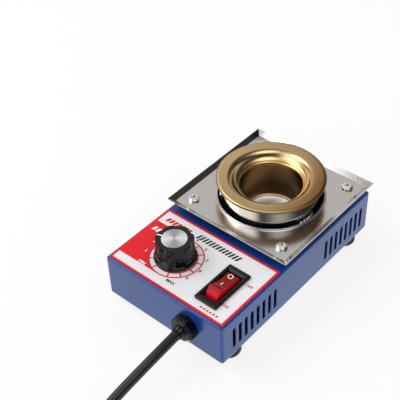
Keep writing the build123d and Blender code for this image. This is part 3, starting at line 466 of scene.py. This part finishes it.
# Spun steel, straw-tinted by heat: satin on the flat ring, polished in the cove, brown in the cup,
# with the tool's rings round its axis. The rings are drawn coarser than the real ones, or they
# wouldn't show
def heat_tinted_crucible():
    reach = (crucible_high.x - crucible_low.x) / 2
    ring_spacing = 0.5
    cup_depth = 31.0
    cove_radius = 25.5
    flat_radius = 28.5  # the flat ring starts here
    floor_highlight_radius = 16.0
    roll_width = 2.1  # the outer edge rolls over within this width, at this radius of bend
    roll_bend = 1.8
    dish_radius = 17.0  # the bottom is dished within this radius, at this radius of bend
    dish_bend = 32.0
    shaded_side = (0.98, 0.17, 0)
    side_shade_start = 4.0  # along the shaded side's direction, from the middle
    side_shade_full = 38.0
    material, tree, shader, place = new_material(
        "heat_tinted_spun_steel", "#C9A873", 0.28, 1.0, Anisotropic=0.7
    )
    turned = add_node(tree, "ShaderNodeTangent", settings={"direction_type": "RADIAL", "axis": "Z"})
    tree.links.new(turned.outputs["Tangent"], shader.inputs["Tangent"])
    centre = add_node(
        tree,
        "ShaderNodeVectorMath",
        settings={"operation": "SUBTRACT"},
        values={1: (0, pot.y * MM, crucible_high.z * MM)},
        links={0: (place, "Object")},
    )
    parts = add_node(tree, "ShaderNodeSeparateXYZ", links={0: (centre, "Vector")})
    flat = add_node(
        tree,
        "ShaderNodeCombineXYZ",
        links={"X": (parts, "X"), "Y": (parts, "Y")},
    )
    radius = add_node(
        tree,
        "ShaderNodeVectorMath",
        settings={"operation": "LENGTH"},
        links={0: (flat, "Vector")},
    )
    depth = add_node(
        tree,
        "ShaderNodeMapRange",
        values={"From Min": 0.0, "From Max": -cup_depth * MM},
        links={"Value": (parts, "Z")},
    )
    tint = add_node(tree, "ShaderNodeValToRGB", links={"Fac": (depth, "Result")})
    down_the_cup = [
        (0.0, "#C6A87C"),
        (0.1, "#DDC294"),
        (0.19, "#D2AA6C"),
        (0.24, "#72553A"),
        (0.5, "#6C5238"),
        (0.8, "#A08664"),
        (1.0, "#A88E6C"),
    ]
    ramp_colours(tint, down_the_cup)
    # Painted shade: down to a quarter of the cup's depth, the colour is painted darker on the right
    # and on the outer edge
    towards = add_node(
        tree,
        "ShaderNodeVectorMath",
        settings={"operation": "DOT_PRODUCT"},
        values={1: shaded_side},
        links={0: (flat, "Vector")},
    )
    side_shade = add_node(
        tree,
        "ShaderNodeMapRange",
        settings={"interpolation_type": "SMOOTHSTEP"},
        values={"From Min": side_shade_start * MM, "From Max": side_shade_full * MM},
        links={"Value": (towards, "Value")},
    )
    rim_shade = add_node(
        tree,
        "ShaderNodeMapRange",
        values={"From Min": (reach - 1.0) * MM, "From Max": reach * MM, "To Max": 0.5},
        links={"Value": (radius, "Value")},
    )
    shade_share = add_node(
        tree,
        "ShaderNodeMath",
        settings={"operation": "MAXIMUM"},
        links={0: (side_shade, "Result"), 1: (rim_shade, "Result")},
    )
    upper = add_node(
        tree,
        "ShaderNodeMapRange",
        values={"From Min": 0.3, "From Max": 0.2},
        links={"Value": (depth, "Result")},
    )
    upper_shade_share = add_node(
        tree,
        "ShaderNodeMath",
        settings={"operation": "MULTIPLY"},
        links={0: (shade_share, "Value"), 1: (upper, "Result")},
    )
    painted_shade_tint = add_node(
        tree,
        "ShaderNodeMix",
        settings={"data_type": "RGBA", "blend_type": "MULTIPLY"},
        values={7: linear("#A98A5E")},
        links={0: (upper_shade_share, "Value"), 6: (tint, "Color")},
    )
    # Painted highlight: the middle of the bottom is painted near white
    floor_highlight = add_node(
        tree,
        "ShaderNodeMapRange",
        values={"From Min": (floor_highlight_radius + 0.8) * MM, "From Max": floor_highlight_radius * MM},
        links={"Value": (radius, "Value")},
    )
    floor_highlighted = add_node(
        tree,
        "ShaderNodeMix",
        settings={"data_type": "RGBA"},
        values={7: linear("#F0EAE2")},
        links={0: (floor_highlight, "Result"), 6: (painted_shade_tint, 2)},
    )
    tree.links.new(floor_highlighted.outputs[2], shader.inputs["Base Color"])
    ring = add_node(
        tree,
        "ShaderNodeMapRange",
        settings={"interpolation_type": "SMOOTHSTEP"},
        values={
            "From Min": cove_radius * MM,
            "From Max": flat_radius * MM,
            "To Min": 0.24,
            "To Max": 0.34,
        },
        links={"Value": (radius, "Value")},
    )
    bottom = add_node(
        tree,
        "ShaderNodeMapRange",
        values={"From Min": 0.8, "From Max": 1.0, "To Min": 0.0, "To Max": 0.38},
        links={"Value": (depth, "Result")},
    )
    satin = add_node(
        tree,
        "ShaderNodeMath",
        settings={"operation": "MAXIMUM"},
        links={0: (ring, "Result"), 1: (bottom, "Result")},
    )
    tree.links.new(satin.outputs["Value"], shader.inputs["Roughness"])
    stretch = add_node(
        tree,
        "ShaderNodeCombineXYZ",
        links={"X": (radius, "Value"), "Y": (parts, "Z")},
    )
    rings = add_node(
        tree,
        "ShaderNodeTexNoise",
        values={"Scale": 1 / (ring_spacing * MM), "Detail": 2.0},
        links={"Vector": (stretch, "Vector")},
    )
    # The ring's outer edge rolls over, so it catches the light at the front
    past = add_node(
        tree,
        "ShaderNodeMath",
        settings={"operation": "SUBTRACT"},
        values={1: (reach - roll_width) * MM},
        links={0: (radius, "Value")},
    )
    rolled = add_node(
        tree,
        "ShaderNodeMath",
        settings={"operation": "MAXIMUM"},
        values={1: 0.0},
        links={0: (past, "Value")},
    )
    squared = add_node(
        tree,
        "ShaderNodeMath",
        settings={"operation": "POWER"},
        values={1: 2.0},
        links={0: (rolled, "Value")},
    )
    fall = add_node(
        tree,
        "ShaderNodeMath",
        settings={"operation": "MULTIPLY"},
        values={1: -1 / (2 * roll_bend * MM)},
        links={0: (squared, "Value")},
    )
    # The cup's bottom is slightly dished
    within_cup = add_node(
        tree,
        "ShaderNodeMath",
        settings={"operation": "MINIMUM"},
        values={1: dish_radius * MM},
        links={0: (radius, "Value")},
    )
    dished = add_node(
        tree,
        "ShaderNodeMath",
        settings={"operation": "POWER"},
        values={1: 2.0},
        links={0: (within_cup, "Value")},
    )
    shaped = add_node(
        tree,
        "ShaderNodeMath",
        settings={"operation": "MULTIPLY_ADD"},
        values={1: 1 / (2 * dish_bend * MM)},
        links={0: (dished, "Value"), 2: (fall, "Value")},
    )
    roll = add_node(
        tree,
        "ShaderNodeBump",
        values={"Strength": 1.0, "Distance": 1.0},
        links={"Height": (shaped, "Value")},
    )
    relief = add_node(
        tree,
        "ShaderNodeBump",
        values={"Strength": 0.03, "Distance": 0.02 * MM},
        links={"Height": (rings, "Fac"), "Normal": (roll, "Normal")},
    )
    tree.links.new(relief.outputs["Normal"], shader.inputs["Normal"])
    return material


# Spun aluminium disc: rings round its centre, drawn coarser than the real ones, or they wouldn't show.
# Its bow-tie sheen is a painted highlight: the colour is lighter in two opposite sectors
def spun_cap():
    groove_spacing = 0.3
    sheen_angle = 42.5  # where the painted bow-tie highlight is brightest, in degrees from X
    material, tree, shader, place = new_material("spun_aluminium", "#E2E2E2", 0.3, 1.0)
    centre = add_node(
        tree,
        "ShaderNodeVectorMath",
        settings={"operation": "SUBTRACT"},
        values={1: (dial.x * MM, dial.y * MM, 0)},
        links={0: (place, "Object")},
    )
    parts = add_node(tree, "ShaderNodeSeparateXYZ", links={0: (centre, "Vector")})
    flat = add_node(tree, "ShaderNodeCombineXYZ", links={"X": (parts, "X"), "Y": (parts, "Y")})
    radius = add_node(
        tree,
        "ShaderNodeVectorMath",
        settings={"operation": "LENGTH"},
        links={0: (flat, "Vector")},
    )
    angle = add_node(
        tree,
        "ShaderNodeMath",
        settings={"operation": "ARCTAN2"},
        links={0: (parts, "Y"), 1: (parts, "X")},
    )
    double = add_node(
        tree,
        "ShaderNodeMath",
        settings={"operation": "MULTIPLY_ADD"},
        values={1: 2.0, 2: -math.radians(2 * sheen_angle)},
        links={0: (angle, "Value")},
    )
    bow = add_node(
        tree,
        "ShaderNodeMath",
        settings={"operation": "COSINE"},
        links={0: (double, "Value")},
    )
    sheen = add_node(
        tree,
        "ShaderNodeMapRange",
        values={"From Min": -1.0, "From Max": 1.0},
        links={"Value": (bow, "Value")},
    )
    # Painted highlight: lighter in two opposite sectors and darker between, a painted bow-tie sheen
    shade = add_node(tree, "ShaderNodeValToRGB", links={"Fac": (sheen, "Result")})
    ramp_colours(shade, [(0.0, "#A9A9A9"), (0.5, "#CFCFCF"), (1.0, "#F2F2F2")])
    tree.links.new(shade.outputs["Color"], shader.inputs["Base Color"])
    grooves = add_node(
        tree,
        "ShaderNodeTexNoise",
        settings={"noise_dimensions": "1D"},
        values={"Scale": 1 / (groove_spacing * MM), "Detail": 1.0},
        links={"W": (radius, "Value")},
    )
    relief = add_node(
        tree,
        "ShaderNodeBump",
        values={"Strength": 0.25, "Distance": 0.02 * MM},
        links={"Height": (grooves, "Fac")},
    )
    tree.links.new(relief.outputs["Normal"], shader.inputs["Normal"])
    return material


def moulding(name, colour, roughness, grain_mm, strength, variation, metallic=0.0, **more):
    """A moulded, printed or plated surface: one colour, a fine grain and slight changes of gloss."""
    material, tree, shader, place = new_material(name, colour, roughness, metallic, **more)
    grain = add_node(
        tree,
        "ShaderNodeTexNoise",
        values={"Scale": 1 / (grain_mm * MM), "Detail": 3.0},
        links={"Vector": (place, "Object")},
    )
    relief = add_node(
        tree,
        "ShaderNodeBump",
        values={"Strength": strength, "Distance": 0.05 * MM},
        links={"Height": (grain, "Fac")},
    )
    tree.links.new(relief.outputs["Normal"], shader.inputs["Normal"])
    varied_gloss(tree, shader, grain, roughness * (1 - variation), roughness * (1 + variation))
    return material


LABEL_WHITE = "#E6E7E9"
LABEL_RED = "#E0101C"


# Printed polyester film: smooth white, with the border's red ink run over its cut edge
def printed_film():
    border_width = 1.0
    film_grain = 1.5
    material, tree, shader, place = new_material("white_polyester_film", LABEL_WHITE, 0.35)
    depths, nearest_side = depth_in_box(tree, place, label_low, label_high)
    edge = add_node(
        tree,
        "ShaderNodeMapRange",
        values={"From Min": (border_width + 0.2) * MM, "From Max": border_width * MM},
        links={"Value": (nearest_side, "Value")},
    )
    inked = add_node(
        tree,
        "ShaderNodeMix",
        settings={"data_type": "RGBA"},
        values={6: linear(LABEL_WHITE), 7: linear(LABEL_RED)},
        links={0: (edge, "Result")},
    )
    tree.links.new(inked.outputs[2], shader.inputs["Base Color"])
    grain = add_node(
        tree,
        "ShaderNodeTexNoise",
        values={"Scale": 1 / (film_grain * MM), "Detail": 3.0},
        links={"Vector": (place, "Object")},
    )
    varied_gloss(tree, shader, grain, 0.28, 0.42)
    return material


# The grains below are in millimetres, and the finest are drawn coarser than the real ones, or they
# wouldn't show.

# Compression-moulded bakelite: a deep, glossy black with faint flow marks
bakelite = moulding("black_bakelite", "#0A0A0B", 0.1, 3.0, 0.04, 0.3, Specular_IOR_Level=0.32)
# Injection-moulded polyamide: a satin black from the mould's fine grain
switch_plastic = moulding("black_polyamide", "#0C0C0C", 0.28, 0.6, 0.1, 0.2, Specular_IOR_Level=0.26)
# Moulded nylon: black with a smooth, soft gloss
relief_nylon = moulding("black_nylon", "#050506", 0.2, 2.0, 0.06, 0.3, Specular_IOR_Level=0.27)
# Extruded PVC of the cord: dark grey with a soft gloss
cord_pvc = moulding("black_cord_pvc", "#131315", 0.3, 0.8, 0.06, 0.15, Specular_IOR_Level=0.42)
# PVC moulded over the plug: duller, with a pebbled skin
plug_pvc = moulding("black_plug_pvc", "#161617", 0.45, 0.8, 0.2, 0.15)
# Moulded rubber: dull and dark grey
foot_rubber = moulding("moulded_rubber", "#1C1C1D", 0.7, 0.5, 0.3, 0.1)
label_film = printed_film()
# Screen-printed inks: flat, even colours with a slight sheen
red_ink = moulding("red_screen_ink", LABEL_RED, 0.5, 1.0, 0.04, 0.15, Specular_IOR_Level=0.3)
white_ink = moulding("white_screen_ink", "#F4F4F4", 0.4, 1.0, 0.04, 0.15)
black_ink = moulding("black_screen_ink", "#17181A", 0.4, 1.0, 0.04, 0.15)
# Glazed steatite: creamy white with a soft gloss
ceramic = moulding("glazed_steatite", "#E9E4D8", 0.3, 1.5, 0.08, 0.2)
# Pressed mineral fibre: pale and coarse, without gloss
mineral_fibre = moulding("pressed_mineral_fibre", "#D8D2C4", 0.95, 0.7, 0.9, 0.05)
# Bonded mica sheet: golden brown with a flaky gloss
mica_sheet = moulding("mica_sheet", "#A58B5A", 0.35, 2.5, 0.2, 0.3)
# Turned brass: warm yellow, softened by the tool's marks
turned_brass = moulding("turned_brass", "#C9A352", 0.25, 0.6, 0.08, 0.3, metallic=1.0)
# Nickel-plated brass: a warm, bright silver
nickel_plate = moulding("nickel_plated_brass", "#CFC9BC", 0.16, 0.8, 0.04, 0.3, metallic=1.0)
# Glass-fibre board under solder mask: green with a soft gloss and the weave's faint waves
board_laminate = moulding("green_solder_mask", "#14562E", 0.35, 1.2, 0.15, 0.2)
# Moulded epoxy: a grainy, dull black
epoxy_black = moulding("black_epoxy", "#1B1B1C", 0.5, 0.4, 0.3, 0.1)
# Moulded polyester case of the capacitor: smooth yellow
film_case = moulding("yellow_capacitor_case", "#D9A82A", 0.3, 1.0, 0.06, 0.2)
# Moulded polyamide of the terminals: satin grey
terminal_plastic = moulding("grey_polyamide", "#7D8286", 0.45, 0.8, 0.12, 0.2)
# Extruded aluminium: a soft, dull silver
sink_metal = moulding("extruded_aluminium", "#B8BABD", 0.35, 0.5, 0.1, 0.2, metallic=1.0)
# Blackened steel: dark with a low sheen
blackened_steel = moulding("blackened_steel", "#2B2B2C", 0.4, 0.5, 0.1, 0.2, metallic=1.0)

zinc = zinc_plate()
screw_steel = bright_screw_steel()
dress = {
    "cover": blue_powder_coat(),
    "base_plate": zinc,
    "foot_front_left": foot_rubber,
    "foot_front_right": foot_rubber,
    "foot_rear_left": foot_rubber,
    "foot_rear_right": foot_rubber,
    "foot_screws": screw_steel,
    "splash_tray": rolled_stainless(),
    "tray_spacers": zinc,
    "tray_screws": screw_steel,
    "tray_nuts": zinc,
    "crucible": heat_tinted_crucible(),
    "heater_band": mica_sheet,
    "heater_insulation": mineral_fibre,
    "heater_shell": polished_shell(),
    "heater_standoffs": ceramic,
    "standoff_screws": screw_steel,
    "standoff_nuts": zinc,
    "knob": bakelite,
    "knob_cap": spun_cap(),
    "knob_pointer": white_ink,
    "knob_bush": turned_brass,
    "knob_set_screw": blackened_steel,
    "control_shaft": zinc,
    "heat_control": zinc,
    "control_washer": zinc,
    "control_nut": zinc,
    "switch_housing": switch_plastic,
    "switch_rocker": red_rocker(),
    "switch_terminals": turned_brass,
    "panel_label": label_film,
    "label_print": red_ink,
    "control_board": board_laminate,
    "board_standoffs": turned_brass,
    "board_screws": screw_steel,
    "triac": epoxy_black,
    "heat_sink": sink_metal,
    "film_capacitor": film_case,
    "terminal_block": terminal_plastic,
    "earth_screw": screw_steel,
    "earth_lug": turned_brass,
    "earth_nut": zinc,
    "strain_relief": relief_nylon,
    "plug_body": plug_pvc,
    "plug_pins": nickel_plate,
    "plug_earth_clips": nickel_plate,
}
for node, material in dress.items():
    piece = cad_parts[node]
    for slot in piece.material_slots:
        slot.material = material
cord_line.materials.append(cord_pvc)


# Print on the panel label: dial numbers, the words by the switch and plain strokes
PRINT_LIFT = 0.03  # print lies this much above its surface, so that it shows
INK_BODY = 0.02
INK_SPREAD = 0.03  # each letter's lines grow by this share of its size
ABOVE_ALL = 100.0  # a height above every surface


def print_text(name, words, x, y, z, size, ink):
    """Flat printed words on the box, centred on a place in millimetres."""
    words_curve = bpy.data.curves.new(name, "FONT")
    words_curve.body = words
    words_curve.size = size * MM
    words_curve.align_x = "CENTER"
    words_curve.align_y = "CENTER"
    words_curve.extrude = INK_BODY * MM
    words_curve.offset = INK_SPREAD * size * MM
    words_curve.resolution_u = 4
    piece = bpy.data.objects.new(name, words_curve)
    piece.location = Vector((x, y, z)) * MM
    words_curve.materials.append(ink)
    bpy.context.scene.collection.objects.link(piece)
    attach(piece, "box")


def laid_print(name, patches, carrier, ink, body="box"):
    """A thin print over the surface below it. A patch is rows of places, joined row to row."""
    corners, faces = [], []
    for rows in patches:
        across = len(rows[0])
        first = len(corners)
        for x, y in [place for row in rows for place in row]:
            above = Vector((x, y, ABOVE_ALL)) * MM
            place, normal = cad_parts[carrier].ray_cast(above, Vector((0, 0, -1)))[1:3]
            corners.append(place + normal * PRINT_LIFT * MM)
        for start in range(first, len(corners) - across, across):
            for corner in range(start, start + across - 1):
                faces.append((corner, corner + 1, corner + 1 + across, corner + across))
    print_mesh = bpy.data.meshes.new(name)
    print_mesh.from_pydata(corners, [], faces)
    print_mesh.materials.append(ink)
    piece = bpy.data.objects.new(name, print_mesh)
    bpy.context.scene.collection.objects.link(piece)
    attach(piece, body)


def ring_row(x, y, radius, sides=40):
    """Places round a circle, back to the first."""
    turns = [2 * math.pi * side / sides for side in range(sides + 1)]
    return [(x + radius * math.cos(turn), y + radius * math.sin(turn)) for turn in turns]


def strokes(x, y, count, step, length, height, lean):
    """A row of plain strokes that lean to the right, as patches."""
    low, high = y - height / 2, y + height / 2
    starts = [x + number * step for number in range(count)]
    return [
        [
            [(start, low), (start + length, low)],
            [(start + lean, high), (start + lean + length, high)],
        ]
        for start in starts
    ]


# Rows of plain slanted strokes along the label's back edge, and small ones near its corners
laid_print(
    "back_strokes_red",
    strokes(x=-37.4, y=-26.0, count=7, step=2.7, length=2.1, height=3.4, lean=1.3),
    "panel_label",
    red_ink,
)
laid_print(
    "back_strokes_black",
    strokes(x=-13.3, y=-25.6, count=13, step=2.45, length=1.5, height=4.2, lean=1.5),
    "panel_label",
    black_ink,
)
laid_print(
    "side_strokes_white",
    strokes(x=-38.8, y=-36.5, count=2, step=3.0, length=1.8, height=3.4, lean=1.2),
    "label_print",
    white_ink,
)
laid_print(
    "front_strokes_red",
    strokes(x=23.6, y=-66.2, count=6, step=2.2, length=1.3, height=1.3, lean=0.4),
    "panel_label",
    red_ink,
)

# Switch marks on the rocker: a ring for off and a dash for on
RING_RADII = (1.2, 1.65)
laid_print(
    "rocker_ring_white",
    [[ring_row(switch.x - 0.4, switch.y + 7.2, radius) for radius in RING_RADII]],
    "switch_rocker",
    white_ink,
    body="rocker",
)
dash_rows = [switch.y - 1.6 + 0.5 * part for part in range(6)]
laid_print(
    "rocker_dash_white",
    [[[(switch.x - 0.7, y), (switch.x - 0.15, y)] for y in dash_rows]],
    "switch_rocker",
    white_ink,
    body="rocker",
)

# Dial marks: white on the red field at the left, black on the white film at the right
FIRST_MARK = 231.0  # where MIN stands, in degrees
MARK_STEP = 28.8  # clockwise from each mark to the next
MARK_SIZE = 2.8
NUMBER_RADIUS = 18.2
WORD_RADIUS = 19.6
dial_marks = ["MIN", "1", "2", "3", "4", "5", "6", "7", "8", "9", "MAX"]
for count, mark in enumerate(dial_marks):
    angle = math.radians(FIRST_MARK - MARK_STEP * count)
    mark_radius = WORD_RADIUS if len(mark) > 1 else NUMBER_RADIUS
    on_red = math.cos(angle) < 0
    print_text(
        "dial_mark_" + mark.lower(),
        mark,
        dial.x + mark_radius * math.cos(angle),
        dial.y + mark_radius * math.sin(angle),
        (print_high.z if on_red else label_high.z) + PRINT_LIFT,
        MARK_SIZE,
        white_ink if on_red else black_ink,
    )
WORD_SIZE = 2.6
word_z = label_high.z + PRINT_LIFT
print_text("word_off", "OFF", switch.x + 10.8, switch.y + 9.6, word_z, WORD_SIZE, red_ink)
print_text("word_on", "ON", switch.x + 9.7, switch.y - 9.6, word_z, WORD_SIZE, red_ink)

# Stage: matt white paper that keeps a soft shadow, and shows white in the picture and in metal
FLOOR_REACH = 6.0  # metres
FLOOR_GLOW = 0.8  # the share of plain white in what the camera and polished metal see
WHITE = (1, 1, 1, 1)
floor_corners = [
    (-FLOOR_REACH, -FLOOR_REACH, 0),
    (FLOOR_REACH, -FLOOR_REACH, 0),
    (FLOOR_REACH, FLOOR_REACH, 0),
    (-FLOOR_REACH, FLOOR_REACH, 0),
]
floor_mesh = bpy.data.meshes.new("studio_floor")
floor_mesh.from_pydata(floor_corners, [], [(0, 1, 2, 3)])
studio_floor = bpy.data.objects.new("studio_floor", floor_mesh)
bpy.context.scene.collection.objects.link(studio_floor)
floor_paper, tree, shader, place = new_material("white_floor_paper", "#F2F2F2", 0.9)
path = add_node(tree, "ShaderNodeLightPath")
glow = add_node(tree, "ShaderNodeEmission", values={"Color": WHITE, "Strength": 1.0})
seen = add_node(
    tree,
    "ShaderNodeMath",
    settings={"operation": "MAXIMUM"},
    links={0: (path, "Is Camera Ray"), 1: (path, "Is Glossy Ray")},
)
share = add_node(
    tree,
    "ShaderNodeMath",
    settings={"operation": "MULTIPLY"},
    values={1: FLOOR_GLOW},
    links={0: (seen, "Value")},
)
blend = add_node(
    tree,
    "ShaderNodeMixShader",
    links={"Fac": (share, "Value"), 1: (shader, "BSDF"), 2: (glow, "Emission")},
)
tree.links.new(blend.outputs["Shader"], tree.nodes["Material Output"].inputs["Surface"])
floor_mesh.materials.append(floor_paper)

# Studio: even light all round; polished metal mirrors a pale horizon and soft panels in a dark room
EVEN_LIGHT = (0.8, 0.8, 0.81, 1)
PALE_HORIZON = 0.85
DARK_ROOM = 0.04
PALE_UP_TO = 0.12  # heights of a direction, where 1 is straight up
DARK_FROM = 0.36
world = bpy.data.worlds.new("studio")
bpy.context.scene.world = world
world.use_nodes = True
tree = world.node_tree
tree.nodes.clear()
path = add_node(tree, "ShaderNodeLightPath")
way = add_node(tree, "ShaderNodeTexCoord")
parts = add_node(tree, "ShaderNodeSeparateXYZ", links={0: (way, "Generated")})
horizon = add_node(
    tree,
    "ShaderNodeMapRange",
    settings={"interpolation_type": "SMOOTHSTEP"},
    values={
        "From Min": PALE_UP_TO,
        "From Max": DARK_FROM,
        "To Min": PALE_HORIZON,
        "To Max": DARK_ROOM,
    },
    links={"Value": (parts, "Z")},
)


def sky_panel(below, azimuth, elevation, inner, outer, strength):
    """Adds a round soft panel to the mirrored sky: bright within inner degrees, gone at outer."""
    turn, rise = math.radians(azimuth), math.radians(elevation)
    middle = (math.cos(rise) * math.cos(turn), math.cos(rise) * math.sin(turn), math.sin(rise))
    nearness = add_node(
        tree,
        "ShaderNodeVectorMath",
        settings={"operation": "DOT_PRODUCT"},
        values={1: middle},
        links={0: (way, "Generated")},
    )
    panel = add_node(
        tree,
        "ShaderNodeMapRange",
        settings={"interpolation_type": "SMOOTHSTEP"},
        values={
            "From Min": math.cos(math.radians(outer)),
            "From Max": math.cos(math.radians(inner)),
            "To Max": strength,
        },
        links={"Value": (nearness, "Value")},
    )
    return add_node(
        tree,
        "ShaderNodeMath",
        settings={"operation": "ADD"},
        links={0: below, 1: (panel, "Result")},
    )


# Soft panels: azimuth, elevation, inner and outer reach in degrees, and strength
SOFT_PANELS = [
    (150, 40, 22, 44, 0.74),
    (-115, 33, 15, 33, 2.0),
    (-30, 66, 10, 28, 2.2),
]
mirrored = (horizon, "Result")
for panel in SOFT_PANELS:
    mirrored = (sky_panel(mirrored, *panel), "Value")
lit = add_node(
    tree,
    "ShaderNodeMix",
    settings={"data_type": "RGBA"},
    values={6: EVEN_LIGHT},
    links={0: (path, "Is Glossy Ray"), 7: mirrored},
)
shown = add_node(
    tree,
    "ShaderNodeMix",
    settings={"data_type": "RGBA"},
    values={7: WHITE},
    links={0: (path, "Is Camera Ray"), 6: (lit, 2)},
)
sky = add_node(tree, "ShaderNodeBackground", values={"Strength": 1.0}, links={"Color": (shown, 2)})
add_node(tree, "ShaderNodeOutputWorld", links={"Surface": (sky, "Background")})


LAMP_AIM = Vector((0, 0, 0.03))  # the lamps face the box, in metres as their places are


def soft_lamp(name, place, size, watts, in_mirrors):
    """A square soft box that faces the pot, and shows in polished metal or not."""
    lamp = bpy.data.lights.new(name, "AREA")
    lamp.energy = watts
    lamp.size = size
    lamp_object = bpy.data.objects.new(name, lamp)
    lamp_object.location = place
    aim = LAMP_AIM - Vector(place)
    lamp_object.rotation_euler = aim.to_track_quat("-Z", "Y").to_euler()
    lamp_object.visible_glossy = in_mirrors
    bpy.context.scene.collection.objects.link(lamp_object)


soft_lamp("key_soft_box", (-0.7, -0.3, 0.9), size=0.6, watts=4.2, in_mirrors=True)
soft_lamp("fill_soft_box", (0.2, -1.1, 0.6), size=0.7, watts=1.7, in_mirrors=False)

scene = bpy.context.scene
scene.view_settings.view_transform = "Standard"
bpy.context.view_layer.update()
